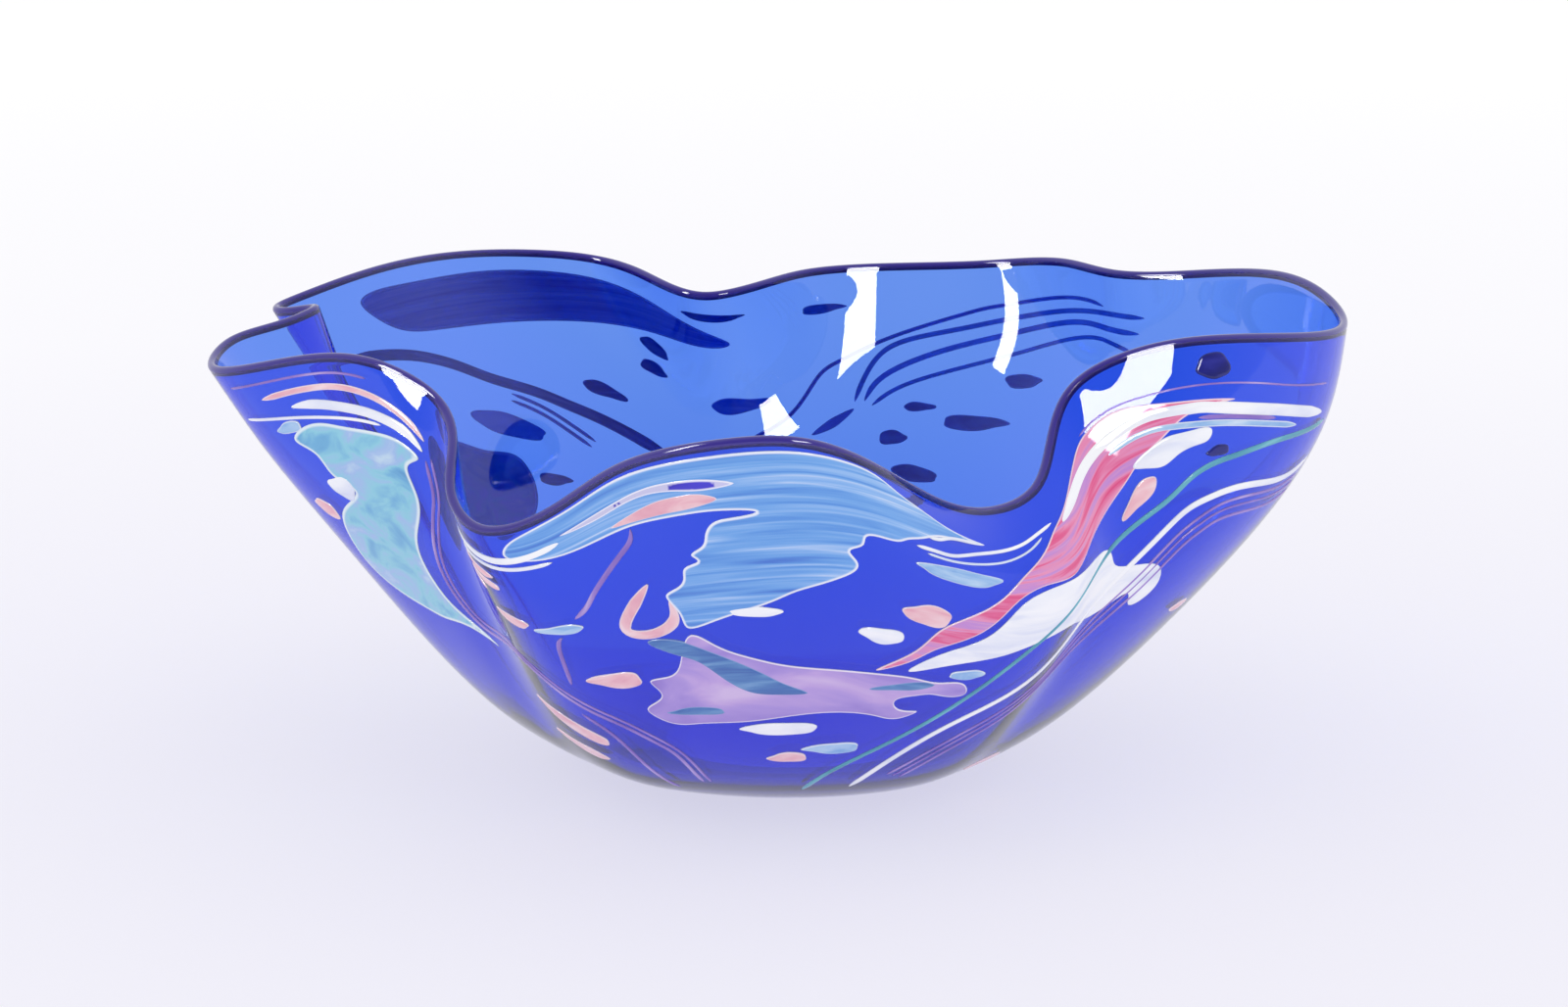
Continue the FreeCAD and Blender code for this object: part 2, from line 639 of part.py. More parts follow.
def make_parts(doc, size):
    wall = Wall(size)
    surfaces = make_surfaces(wall, size)
    outer, deep, proud = surfaces["outer"], surfaces["deep"], surfaces["proud"]
    pockets = {name: closed_edges(on_sheet(points)) for name, points in SHARDS.items()}
    parts = [add_feature(doc, "bowl_body", build_body(wall, surfaces, pockets.values()))]
    for name, curves in pockets.items():
        parts.append(add_feature(doc, name, slab(curves, deep, outer)))
    for name, (route, strands) in CANES.items():
        solids = []
        for offset, width in strands:
            left, right = strand_sides(wall, on_sheet(route), offset, width)
            solids.append(slab(strip_edges(left, right), outer, proud))
        parts.append(add_feature(doc, name, Part.Compound(solids)))
    for name, points in LEAVES.items():
        parts.append(add_feature(doc, name, slab(closed_edges(on_sheet(points)), outer, proud)))
    for name, chips in CHIPS.items():
        solids = []
        for chip in chips:
            solids.append(slab(closed_edges(chip_outline(wall, *chip)), outer, proud))
        parts.append(add_feature(doc, name, Part.Compound(solids)))
    return parts


def check(doc, parts):
    for thing in doc.Objects:
        if {"Invalid", "Error"} & set(thing.State):
            raise RuntimeError("%s failed: %s" % (thing.Name, thing.State))
    bad = []
    for part in parts:
        shape = part.Shape
        if shape.isNull() or not shape.isValid() or shape.Volume <= 0:
            bad.append(part.Label)
        print("%-24s solids %d volume %.1f" % (part.Label, len(shape.Solids), shape.Volume))
    if bad:
        raise RuntimeError("bad shapes: " + ", ".join(bad))


def main():
    doc = FreeCAD.newDocument("ArtGlassBowl")
    size = make_sheet(doc)
    parts = make_parts(doc, size)
    doc.recompute()
    check(doc, parts)
    os.makedirs("parts", exist_ok=True)
    for part in parts:
        part.Shape.exportStep("parts/%s.step" % part.Label)


main()
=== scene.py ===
"""Looks of the ruffled art glass bowl: the blown wall, and the coloured glass fused to it.

A place on the wall is (turn, share): turn in degrees round the bowl from +X, and share in
percent of the way up the wall from the foot to the rim. The wall's formula and the places of
the pieces are those of the CAD part. Sizes are in mm until a mesh is made.
"""

import math

import bpy
import numpy as np
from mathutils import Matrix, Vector, geometry


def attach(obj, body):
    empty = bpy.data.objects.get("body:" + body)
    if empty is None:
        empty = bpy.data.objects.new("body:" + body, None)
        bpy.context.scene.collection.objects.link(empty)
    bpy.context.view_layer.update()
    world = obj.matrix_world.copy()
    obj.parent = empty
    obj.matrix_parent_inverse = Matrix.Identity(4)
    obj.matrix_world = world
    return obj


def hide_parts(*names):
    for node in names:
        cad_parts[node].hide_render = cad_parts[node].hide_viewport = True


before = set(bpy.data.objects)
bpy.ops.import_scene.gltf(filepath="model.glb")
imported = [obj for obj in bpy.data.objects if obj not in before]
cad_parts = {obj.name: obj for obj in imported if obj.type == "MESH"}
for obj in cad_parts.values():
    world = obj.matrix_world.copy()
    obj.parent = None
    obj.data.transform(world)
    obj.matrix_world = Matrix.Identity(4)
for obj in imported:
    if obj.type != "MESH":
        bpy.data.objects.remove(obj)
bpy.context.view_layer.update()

MM = 0.001

# ---------------------------------------------------------------- the wall's sizes, mm

BASE_THICKNESS = 9.0
LOW_WALL = 6.0
RIM_WALL = 3.4
TURNED_RADIUS = 188.0
TURNED_HEIGHT = 162.0
START_TURN = -1.0
BELLY_SHIFT = 3.0
FLARE_SHIFT = -4.0
SQUEEZE = -0.02
WAVE_POWER = 1.9
BASE_REACH = 0.2      # share over which the base's extra thickness fades

# Plain bowl: share, radius, height.
PROFILE = [
    (0.00, 48, 0), (0.06, 66, 4), (0.16, 87, 11), (0.30, 112, 27), (0.46, 142, 59),
    (0.64, 168, 95), (0.82, 184, 129), (1.00, TURNED_RADIUS, TURNED_HEIGHT),
]

# The waved rim, as x, y, z, anticlockwise from the right tip.
RIM = [
    (208, 0, 169), (201, 50, 176), (164, 112, 171), (134, 134, 168),
    (116, 158, 169), (80, 186, 164), (5, 174, 162), (-21, 150, 159),
    (-33, 144, 158), (-62, 167, 164), (-86, 186, 167), (-121, 182, 169),
    (-156, 152, 170), (-197, 101, 163), (-206, 87, 160), (-200, 75, 161),
    (-188, 64, 164), (-194, 49, 162), (-214, 23, 158), (-218, -6, 153),
    (-172, -55, 165), (-144, -76, 165), (-125, -90, 155), (-120, -105, 143),
    (-119, -124, 129), (-108, -142, 121), (-88, -157, 127), (-61, -181, 148),
    (-31, -204, 161), (-3, -208, 164), (42, -166, 140), (70, -135, 127),
    (85, -119, 132), (97, -95, 160), (119, -87, 172), (153, -72, 175),
]

# ---------------------------------------------------------------- how finely meshes are cut

RUNS = 576            # round the bowl
ROWS = 62             # up each side of the wall
LIP_ROWS = 8          # over the lip
BEAD_SIDES = 16       # round the bead on the lip
BEAD_PROUD = 0.02     # how far the bead stands out of the lip
CHART = (3.1, 2.1)    # about how many mm a degree of turn and a percent of share are
CELL = 1.7            # spacing of points inside a shard
ROW_STEP = 0.87       # rows of those points, as part of CELL
CLEAR_OF_EDGE = 1.3   # how far they stay from a shard's edge
EDGE_RINGS = (0.3, 0.8)   # gaps of the rings of points inside the edge
STATION = 1.3         # spacing of stations along a thread
THREAD_COLUMNS = 9    # points across a thread
TAPER = 2.5           # length of a thread's tapered end, in widths
TOP_SHARE = 0.999     # threads stop here, below the lip
ROUNDED = 0.9         # width of a melted edge
SUNK = 0.5            # how deep a piece sits in the wall

# ---------------------------------------------------------------- places of the pieces

SHARDS = {
    "front_blue_shard": [
        (243, 97.6), (249, 98.3), (256, 98.5), (264, 98.5), (272, 98.5), (280, 98.3),
        (284.5, 97.4), (287, 95.6), (289.7, 94.2), (292, 92.8), (295, 91.4), (298, 90.1),
        (293.3, 89.3), (290, 88), (287.5, 86.2), (285.5, 85), (284.5, 84.2), (281.5, 83.9),
        (279.9, 83.3), (279.4, 81.6), (277.7, 79.9), (278.4, 78), (276, 74), (273.5, 72.4),
        (271.4, 71.2), (269.3, 69.6), (266.5, 68), (264, 66.8), (262, 65.8), (258.7, 65.2),
        (258.2, 68.5), (257.3, 73), (259, 74.2), (260, 75.8), (260.6, 78), (262.3, 79.2),
        (261.8, 80.2), (263.2, 81.8), (264, 84), (265, 86), (268, 86.9), (269.4, 87.4),
        (267, 88.2), (263.5, 88.4), (260, 88.4), (256, 88.6), (251, 88.6), (246, 89), (242, 90.4),
        (240, 92.5), (240.5, 95), (242, 97),
    ],
    "left_teal_shard": [
        (200, 87.6), (205, 87.3), (211, 87), (215, 86.4), (216.2, 85.3), (214.3, 82.3),
        (214.2, 79.9), (214.5, 76.4), (213.3, 71.6), (210.3, 63.9), (211.5, 56.2), (215, 53),
        (220, 50.2), (215, 51), (207.3, 51), (203, 52.3), (199.6, 54), (195, 60), (195.4, 65),
        (197, 69), (200, 72), (203, 74.7), (200.6, 77.6), (199.5, 82.1), (197.4, 85),
    ],
    "lavender_shard": [
        (259, 63.4), (261.7, 61), (265.8, 57.8), (269.5, 55.9), (276.2, 54.6), (283, 54.2),
        (288, 53.8), (292, 53.2), (296.5, 52.4), (297, 51), (294, 49.8), (291.5, 50.2),
        (288.6, 49.6), (286, 47.8), (286.6, 46.8), (290.3, 46), (288.5, 44.6), (284, 44.6),
        (273.3, 44.7), (265.2, 43.3), (257.5, 43), (251.8, 44.3), (249.9, 47.2), (252.8, 50.2),
        (251.6, 53.6), (254.8, 54.5), (257.2, 59.4),
    ],
    "white_shard": [
        (309.3, 75.6), (314.5, 72.9), (318.8, 69.6), (320.5, 65.6), (322.4, 64), (326.5, 62.5),
        (330.2, 60), (331, 57), (326.9, 54.8), (325.8, 57), (322.5, 56.6), (315.8, 58),
        (308.6, 62.5), (300.7, 60.5), (291.8, 57.2), (286.5, 55.4), (290, 59.5), (293.5, 62.3),
        (297, 65.6), (299.6, 70.4), (302.2, 75), (304.6, 76.5),
    ],
    "magenta_shard": [
        (336, 89.6), (330.2, 90.4), (327.3, 91), (324.6, 92), (322.6, 92.7), (319.2, 93.1),
        (317, 93.4), (315, 93.2), (312.5, 92.6), (310, 91.6), (307.8, 90.2), (306, 87.5),
        (304, 84.5), (302, 81.8), (299.2, 77), (295.5, 72), (292, 68.5), (289.5, 65.5),
        (287.5, 61.5), (284, 57.2), (281.8, 55), (285.8, 57), (289.3, 60.6), (293, 63.6),
        (296.3, 67), (298.9, 71.5), (301.5, 76), (304.6, 77.9), (309.3, 76.7), (313, 78.3),
        (317.5, 78.8), (321.5, 80.8), (323.3, 82.8), (326.4, 85.3), (330, 88.1),
    ],
    "back_left_shard": [
        (146.5, 94.5), (140, 96.3), (127, 96.5), (116, 96), (109, 94.5), (102, 92), (96, 87.7),
        (104.5, 85.5), (117.5, 85.7), (129.5, 85.8), (137.3, 86.2), (142.4, 87.7), (145.2, 91),
    ],
    "left_inner_shard": [
        (146, 66.5), (139, 63), (133.5, 60), (132.8, 57), (133.5, 53), (136, 50), (142, 48),
        (149, 49), (151, 54), (149, 60),
    ],
}

LEAVES = {
    "blue_feather": [
        (252.9, 63.2), (256.3, 62.9), (259.5, 60.8), (263.6, 57.5), (267.6, 54), (270.8, 51.2),
        (273.2, 49.5), (269.6, 49.1), (265.4, 50.1), (262.4, 53), (259.2, 57.2), (255.4, 60),
    ],
    "rim_finger": [
        (247, 93.6), (252, 94.2), (256, 94.6), (260, 95.1), (264, 94.9), (267.3, 94),
        (268.4, 93.2), (266.8, 92.5), (263, 92.9), (260, 93.5), (256, 93.2), (251, 92.8),
    ],
    "rim_pink_band": [
        (253.5, 89.9), (256.5, 91), (260, 92), (263, 92.2), (265.6, 91.6), (266.4, 90.8),
        (264.6, 89.6), (261, 89.2), (257, 89.2),
    ],
    "lobe_white_chip": [
        (322.4, 82.4), (325, 84.6), (327, 85.3), (329.8, 85.3), (332.6, 84.6), (332.2, 83.3),
        (330.8, 82.6), (328, 81.7), (326.2, 80.5), (324, 81.2),
    ],
}

CANES = {
    "right_white_cane": (
        [(354, 76.5), (347.5, 73.7), (339, 73.6), (333.2, 72.4), (329.6, 70.5), (325.2, 65.3),
         (319, 59.5), (312.5, 55.2), (305.5, 49), (296.6, 42), (288.6, 32), (284.6, 23.5)],
        [(0, 2.8)]),
    "right_lavender_canes": (
        [(352, 73.5), (346.3, 71.8), (337.7, 71.2), (333, 69), (329.8, 66), (325.5, 60),
         (320, 55), (313.5, 50), (305.5, 44), (297.5, 37), (291, 29)],
        [(0, 1.2), (3.2, 0.8), (7, 1.2)]),
    "right_teal_cane": (
        [(354, 83.5), (349, 82.4), (342.5, 81.3), (337, 79.8), (333.2, 78.8), (329.8, 76.9),
         (326.4, 73.6), (320.4, 70.7), (314.2, 68.6), (309.6, 66.8), (304.5, 61), (297.5, 49.5),
         (289.2, 39.7), (279.6, 30.7), (274.6, 22)],
        [(0, 2.2)]),
    "left_bundle_canes": (
        [(217.3, 85.5), (217.5, 80), (216.6, 75.5), (215, 70), (213.6, 63.5), (214.4, 57),
         (218, 53), (223.5, 53.5), (230.8, 55), (235.6, 52), (240, 47.4), (244.6, 43.4),
         (249.1, 39), (252.5, 34.5), (254.8, 26)],
        [(0, 1.6), (3, 1.2)]),
    "left_branch_cane": (
        [(238.5, 45.8), (241.5, 42), (243.6, 37), (245.5, 30), (248, 22)],
        [(0, 1.6)]),
    "lavender_squiggle": (
        [(255.8, 88.2), (255.3, 86), (253.6, 84), (250.8, 81), (248.2, 77.5), (246.6, 74.8),
         (244.6, 72.6)],
        [(0, 1.8)]),
    "lavender_squiggle_tail": (
        [(241.8, 67.8), (240.7, 65), (240, 58), (239.6, 54)],
        [(0, 1.8)]),
    "rim_white_bands": (
        [(226.5, 87.6), (229, 89.2), (233, 90.2), (238, 90.7), (243, 91.4), (247, 92.3)],
        [(0, 2.4)]),
    "rim_white_line": (
        [(231, 86.8), (235, 88), (240, 88.4), (245, 88.2)],
        [(0, 1.4)]),
    "saddle_white_line": (
        [(286.8, 84.5), (290, 84.6), (292.6, 85), (296.2, 87.1), (300.1, 88.7), (303.2, 89.9),
         (305.5, 91.2), (307.7, 91.8)],
        [(0, 1.2)]),
    "lobe_white_band": (
        [(352, 85.4), (344, 86.8), (340, 87.4), (335, 88.2), (332, 88.9), (329.8, 89.1),
         (327.2, 89.4), (325, 89.6), (322.7, 89.4), (320.5, 89.3), (318.2, 89.5), (316.2, 90),
         (313.7, 90.5), (311, 90.4), (308.5, 89.8)],
        [(0, 4.4)]),
    "lobe_lavender_band": (
        [(342, 85.6), (338, 86.2), (334, 86.8), (331, 87.2)],
        [(0, 1.6)]),
    "lobe_lavender_lines": (
        [(352, 90.9), (345, 91.3), (340, 92), (335, 92.5), (330.5, 92.7), (326.5, 92.9),
         (323.5, 93.2), (319.5, 93.6), (317.5, 94)],
        [(0, 0.7)]),
    "back_ribbon": (
        [(153, 86), (144, 83.2), (137, 79), (132.4, 75.3), (127, 72), (123, 69), (119, 66),
         (113.2, 61.4), (109.5, 59)],
        [(0, 5)]),
    "back_ribbon_strands": (
        [(131, 70.8), (127.3, 67.8), (124.2, 64.2), (121.5, 60.8)],
        [(0, 1.6), (-3.4, 1.6)]),
    "fan_thread_a": (
        [(96, 65.5), (90, 70), (85.4, 76.8), (81.3, 79.8), (74.3, 84.3), (65, 89.4), (59.7, 91),
         (49.8, 92.8), (45.3, 92.4)],
        [(0, 1.7)]),
    "fan_thread_b": (
        [(80.4, 70.6), (79, 75), (75.7, 81.2), (70.4, 84.4), (65.2, 86.2), (60, 87.8),
         (50.7, 89.9), (45, 91), (39.5, 91)],
        [(0, 2.2)]),
    "fan_thread_c": (
        [(79, 70.6), (76.4, 75.5), (70.5, 80), (65.4, 82.6), (60, 84.6), (50.2, 87.6), (45, 87.8),
         (40.3, 87.6)],
        [(0, 2.4)]),
    "fan_thread_d": (
        [(78, 69.6), (74.6, 73), (69, 76.2), (62.2, 79.2), (57.7, 81), (49.2, 84.6), (44.8, 85),
         (41, 83.5)],
        [(0, 1.8)]),
    "fan_trunk": (
        [(87.2, 64.6), (83.7, 66.6), (80.6, 69)],
        [(0, 4)]),
    "pink_loop": (
        [(255.4, 76), (252.2, 71.5), (250.6, 67), (253.8, 64.9), (257.2, 67), (257.4, 71.5)],
        [(0, 4.2)]),
    "lobe_blue_band": (
        [(346, 83.9), (342, 84.5), (338, 85.1), (334, 85.7), (331, 86.1), (328.3, 86.6),
         (325, 87.2), (321.9, 87.1), (319.6, 87)],
        [(0, 2.4)]),
    "saddle_white_upper": (
        [(289.2, 87.5), (291.2, 88.2), (293.3, 89.6), (297, 90.1)],
        [(0, 1.2)]),
    "saddle_blue_line": (
        [(288.2, 83.4), (292, 83.4), (296, 84.4), (300, 85.8), (303.5, 87.8), (305.8, 90)],
        [(0, 0.8)]),
    "left_white_leaf": (
        [(199.2, 91.5), (202, 91.6), (205, 91.1), (207.5, 90.7), (210, 90.4), (212.4, 90),
         (214.6, 89.4), (216, 88.3), (217, 87)],
        [(0, 3.6)]),
    "left_pink_leaf": (
        [(195.5, 93.7), (199, 94.3), (202, 94.6), (205, 94.7), (208, 94.4), (210.7, 93.8),
         (212.8, 93.1), (214.6, 92.2), (216.2, 91), (217.5, 89.4)],
        [(0, 2.4)]),
    "left_lavender_line": (
        [(191, 96.6), (196, 96.9), (202, 97.2), (207, 97.2), (210.5, 96.8)],
        [(0, 0.9)]),
    "left_white_line": (
        [(190.5, 89.8), (195, 89.7), (200, 89.3), (205, 88.8), (211.5, 88.6)],
        [(0, 1.2)]),
}

CHIPS = {
    "left_pink_chips": [
        (195, 71.2, 14, 7, -30), (234, 41.4, 34, 8, -24), (231.7, 34.5, 26, 6, -14),
        (246.5, 55, 22, 8, -4), (235.2, 70.7, 18, 5, 0),
    ],
    "saddle_pink_chips": [
        (233.5, 84, 22, 2.8, 2), (234, 81, 20, 3, 0), (231.2, 77.8, 13, 3, -14),
    ],
    "centre_pink_chip": [
        (271.2, 34.7, 14, 7, 5),
    ],
    "right_pink_chips": [
        (287.6, 68.8, 23, 8, -4), (322.8, 76.6, 20, 6.5, 28), (322, 21, 17, 7, 10),
        (343, 50.5, 12, 5, 10),
    ],
    "white_chips": [
        (201, 75.4, 15, 9, -14), (281.6, 62.8, 19, 7, -8), (269.6, 41.6, 27, 8, 0),
        (267, 67.5, 18, 5, -4),
    ],
    "light_blue_chips": [
        (197.4, 87.6, 15, 4.6, 6), (241.9, 70, 22, 4, 2), (278.3, 37, 20, 7.5, 4),
        (292.4, 80, 42, 5, 0), (295.6, 55.4, 15, 5, 4),
    ],
    "steel_blue_chips": [
        (257.5, 46, 22, 5, 0), (286.5, 51.7, 25, 4.6, 10),
    ],
    "dark_blue_chips": [
        (334, 95.6, 15, 9.5, 0), (333.4, 80.9, 11, 4, 4),
    ],
    "back_left_chips": [
        (107.8, 81.8, 16, 5.5, 24), (109, 77, 14, 5, 20), (117.2, 71.5, 21, 5.5, 24),
        (129, 55.7, 16, 5.5, 12), (97, 94, 24, 3.6, 0),
    ],
    "back_leaf_chip": [
        (132.9, 66.4, 36, 11, 24),
    ],
    "back_centre_chips": [
        (97, 72.5, 24, 6.5, -8), (82.3, 91.6, 22, 4, 0),
    ],
    "back_right_chips": [
        (74.9, 63, 12, 6.5, 0), (71.6, 69.2, 14, 4, 0), (63.7, 66.1, 30, 7, 0),
        (57.9, 74.6, 18, 6.5, 0), (70.8, 56, 20, 7.5, 12),
    ],
}

# ---------------------------------------------------------------- glass colours, as seen

# Name: colours from dark to light, stretch of the streaks along and across (per mm),
# colour of the cut edge (or None) and its width in mm.
GLASS = {
    "violet": ([(44, 34, 168), (52, 42, 184), (60, 50, 200), (68, 60, 210), (84, 78, 220)],
               (0.02, 0.1), (240, 238, 252), 1.2),
    "front_blue": ([(58, 104, 205), (92, 150, 226), (112, 168, 234), (150, 190, 242),
                    (222, 232, 250)], (0.012, 0.32), (236, 240, 252), 1.25),
    "teal": ([(86, 150, 205), (110, 178, 220), (140, 205, 226), (160, 190, 235),
              (205, 228, 240)], (0.05, 0.07), (225, 238, 245), 1.6),
    "teal_cane": ([(60, 136, 164), (72, 150, 176), (80, 160, 185), (92, 172, 194),
                   (120, 192, 208)], (0.04, 0.3), None, 0.5),
    "lavender": ([(140, 110, 200), (160, 135, 215), (176, 150, 222), (196, 166, 226),
                  (214, 190, 232)], (0.02, 0.06), (240, 232, 246), 0.7),
    "mauve": ([(120, 92, 184), (136, 106, 196), (150, 120, 205), (164, 136, 212),
               (186, 164, 222)], (0.04, 0.3), None, 0.5),
    "white": ([(214, 220, 244), (232, 236, 250), (244, 246, 253), (250, 251, 255),
               (252, 252, 255)], (0.03, 0.1), None, 0.5),
    "magenta": ([(218, 50, 120), (228, 96, 148), (233, 148, 190), (196, 140, 214),
                 (240, 176, 198)], (0.02, 0.22), (246, 214, 226), 0.8),
    "pink": ([(226, 158, 178), (234, 174, 190), (240, 190, 200), (243, 202, 210),
              (248, 220, 226)], (0.06, 0.16), (247, 226, 232), 0.5),
    "sky": ([(110, 160, 222), (140, 182, 232), (160, 196, 236), (178, 208, 240),
             (206, 224, 245)], (0.05, 0.2), (225, 234, 248), 0.5),
    "steel": ([(52, 92, 168), (66, 112, 182), (80, 128, 190), (98, 146, 200),
               (130, 170, 214)], (0.04, 0.3), (130, 160, 210), 0.5),
    "dark": ([(12, 14, 90), (14, 18, 104), (18, 22, 118), (24, 28, 130), (40, 44, 150)],
             (0.05, 0.2), None, 0.5),
}

PIECE_GLASS = {
    "front_blue_shard": ("front_blue", "sky_blue_glass"),
    "left_teal_shard": ("teal", "teal_glass"),
    "lavender_shard": ("lavender", "lavender_glass"),
    "white_shard": ("white", "white_glass"),
    "magenta_shard": ("magenta", "magenta_glass"),
    "back_left_shard": ("front_blue", "sky_blue_glass"),
    "left_inner_shard": ("teal", "teal_glass"),
    "blue_feather": ("steel", "steel_blue_glass"),
    "right_white_cane": ("white", "white_glass"),
    "right_lavender_canes": ("mauve", "lavender_glass"),
    "right_teal_cane": ("teal_cane", "teal_glass"),
    "left_bundle_canes": ("mauve", "lavender_glass"),
    "left_branch_cane": ("mauve", "lavender_glass"),
    "lavender_squiggle": ("mauve", "lavender_glass"),
    "lavender_squiggle_tail": ("mauve", "lavender_glass"),
    "rim_white_bands": ("white", "white_glass"),
    "rim_white_line": ("white", "white_glass"),
    "rim_pink_band": ("pink", "pink_glass"),
    "saddle_white_line": ("white", "white_glass"),
    "lobe_white_band": ("white", "white_glass"),
    "lobe_lavender_band": ("mauve", "lavender_glass"),
    "lobe_lavender_lines": ("mauve", "lavender_glass"),
    "back_ribbon": ("steel", "steel_blue_glass"),
    "back_ribbon_strands": ("lavender", "lavender_glass"),
    "fan_thread_a": ("lavender", "lavender_glass"),
    "fan_thread_b": ("teal", "teal_glass"),
    "fan_thread_c": ("white", "white_glass"),
    "fan_thread_d": ("teal", "teal_glass"),
    "fan_trunk": ("white", "white_glass"),
    "pink_loop": ("pink", "pink_glass"),
    "left_pink_chips": ("pink", "pink_glass"),
    "saddle_pink_chips": ("pink", "pink_glass"),
    "centre_pink_chip": ("pink", "pink_glass"),
    "right_pink_chips": ("pink", "pink_glass"),
    "white_chips": ("white", "white_glass"),
    "light_blue_chips": ("sky", "sky_blue_glass"),
    "steel_blue_chips": ("steel", "steel_blue_glass"),
    "dark_blue_chips": ("dark", "dark_blue_glass"),
    "rim_finger": ("violet", "violet_glass"),
    "lobe_white_chip": ("white", "white_glass"),
    "lobe_blue_band": ("sky", "sky_blue_glass"),
    "saddle_white_upper": ("white", "white_glass"),
    "saddle_blue_line": ("sky", "sky_blue_glass"),
    "left_white_leaf": ("white", "white_glass"),
    "left_pink_leaf": ("pink", "pink_glass"),
    "left_lavender_line": ("mauve", "lavender_glass"),
    "left_white_line": ("white", "white_glass"),
    "back_left_chips": ("steel", "steel_blue_glass"),
    "back_leaf_chip": ("white", "white_glass"),
    "back_centre_chips": ("sky", "sky_blue_glass"),
    "back_right_chips": ("pink", "pink_glass"),
}


# ---------------------------------------------------------------- smooth curves

def spline(places, values, period=None):
    """Smooth curve through values at places: closed if it has a period, else straight-ended."""
    values = np.asarray(values, float)
    count = len(places)
    knots = np.append(places, [places[0] + period] if period else [])
    steps = np.diff(knots)
    matrix = np.zeros((count, count))
    column = np.zeros(values.shape)
    for i in range(count):
        if not period and i in (0, count - 1):
            matrix[i, i] = 1.0
            continue
        before, after = steps[i - 1], steps[i]
        ahead = (i + 1) % count
        matrix[i, i - 1] += before
        matrix[i, i] += 2 * (before + after)
        matrix[i, ahead] += after
        rise = (values[ahead] - values[i]) / after
        column[i] = 6 * (rise - (values[i] - values[i - 1]) / before)
    bend = np.linalg.solve(matrix, column)

    def value(place):
        place = np.asarray(place, float)
        if period:
            place = knots[0] + (place - knots[0]) % period
        k = np.clip(np.searchsorted(knots, place, side="right") - 1, 0, len(steps) - 1)
        ahead = (k + 1) % count
        shape = place.shape + (1,) * (values.ndim - 1)
        step = steps[k].reshape(shape)
        b = (place - knots[k]).reshape(shape) / step
        a = 1 - b
        curve = (a ** 3 - a) * bend[k] + (b ** 3 - b) * bend[ahead]
        return a * values[k] + b * values[ahead] + curve * step ** 2 / 6

    return value


def rim_curve():
    """The rim as a closed smooth curve, with its length run as 0 to 1."""
    points = np.array(RIM, float)
    gaps = np.linalg.norm(np.roll(points, -1, axis=0) - points, axis=1)
    places = np.concatenate([[0.0], np.cumsum(gaps)[:-1]]) / gaps.sum()
    return spline(places, points, 1.0)


RIM_CURVE = rim_curve()
RADIUS = spline([row[0] for row in PROFILE], [row[1] for row in PROFILE])
HEIGHT = spline([row[0] for row in PROFILE], [row[2] for row in PROFILE])
TINY = 0.0005


def wall_point(run, share):
    """Outer surface at a run round the bowl (0 to 1) and a share of the wall (0 to 1)."""
    run, share = np.broadcast_arrays(np.asarray(run, float), np.asarray(share, float))
    angle = 2 * np.pi * run + math.radians(START_TURN)
    out = np.stack([np.cos(angle), np.sin(angle), 0 * angle], -1)
    bulge = np.sin(np.pi * share)
    radius = RADIUS(share)
    plain = np.stack([radius * out[..., 0] * (1 + SQUEEZE * bulge), radius * out[..., 1],
                      HEIGHT(share)], -1)
    edge = out * TURNED_RADIUS + np.array([0, 0, TURNED_HEIGHT])
    wave = (RIM_CURVE(run) - edge) * (np.maximum(share, 0.0) ** WAVE_POWER)[..., None]
    lean = BELLY_SHIFT * bulge + FLARE_SHIFT * np.sin(2 * np.pi * share)
    return plain + wave + lean[..., None] * np.array([1.0, 0, 0])


def slopes(run, share):
    """Change of place per unit of run and of share."""
    share = np.clip(share, TINY, 1.0)
    round_bowl = (wall_point(run + TINY, share) - wall_point(run - TINY, share)) / (2 * TINY)
    top = np.minimum(share + TINY, 1.0)
    rise = (top - share + TINY)[..., None]
    up_wall = (wall_point(run, top) - wall_point(run, share - TINY)) / rise
    return round_bowl, up_wall


def unit(vectors):
    return vectors / np.linalg.norm(vectors, axis=-1, keepdims=True)


def normal(run, share):
    round_bowl, up_wall = slopes(run, share)
    return unit(np.cross(round_bowl, up_wall))


def thickness(share):
    """Wall thickness: thick at the base, even up the side."""
    thin = RIM_WALL + (LOW_WALL - RIM_WALL) * (1 - share) ** 2
    base = BASE_THICKNESS - LOW_WALL
    return thin + base * np.maximum(0.0, 1 - share / BASE_REACH) ** 2


def off(run, share, gap):
    """Point at a gap outside the outer surface, or inside it where gap is negative."""
    return wall_point(run, share) + normal(run, share) * np.asarray(gap)[..., None]


# ---------------------------------------------------------------- meshes

def mesh_object(name, points, faces, lay=None):
    """Mesh from points in mm, with the layout attribute (along, across, edge) in mm."""
    mesh = bpy.data.meshes.new(name)
    mesh.from_pydata((points * MM).tolist(), [], faces)
    mesh.polygons.foreach_set("use_smooth", [True] * len(mesh.polygons))
    if lay is not None:
        layer = mesh.attributes.new("lay", "FLOAT_VECTOR", "POINT")
        layer.data.foreach_set("vector", np.asarray(lay, np.float32).ravel())
    mesh.update()
    piece = bpy.data.objects.new(name, mesh)
    bpy.context.scene.collection.objects.link(piece)
    return piece


def ring_faces(first, second, count):
    """Quads between two rings of points that start at these numbers."""
    return [(first + i, first + (i + 1) % count, second + (i + 1) % count, second + i)
            for i in range(count)]


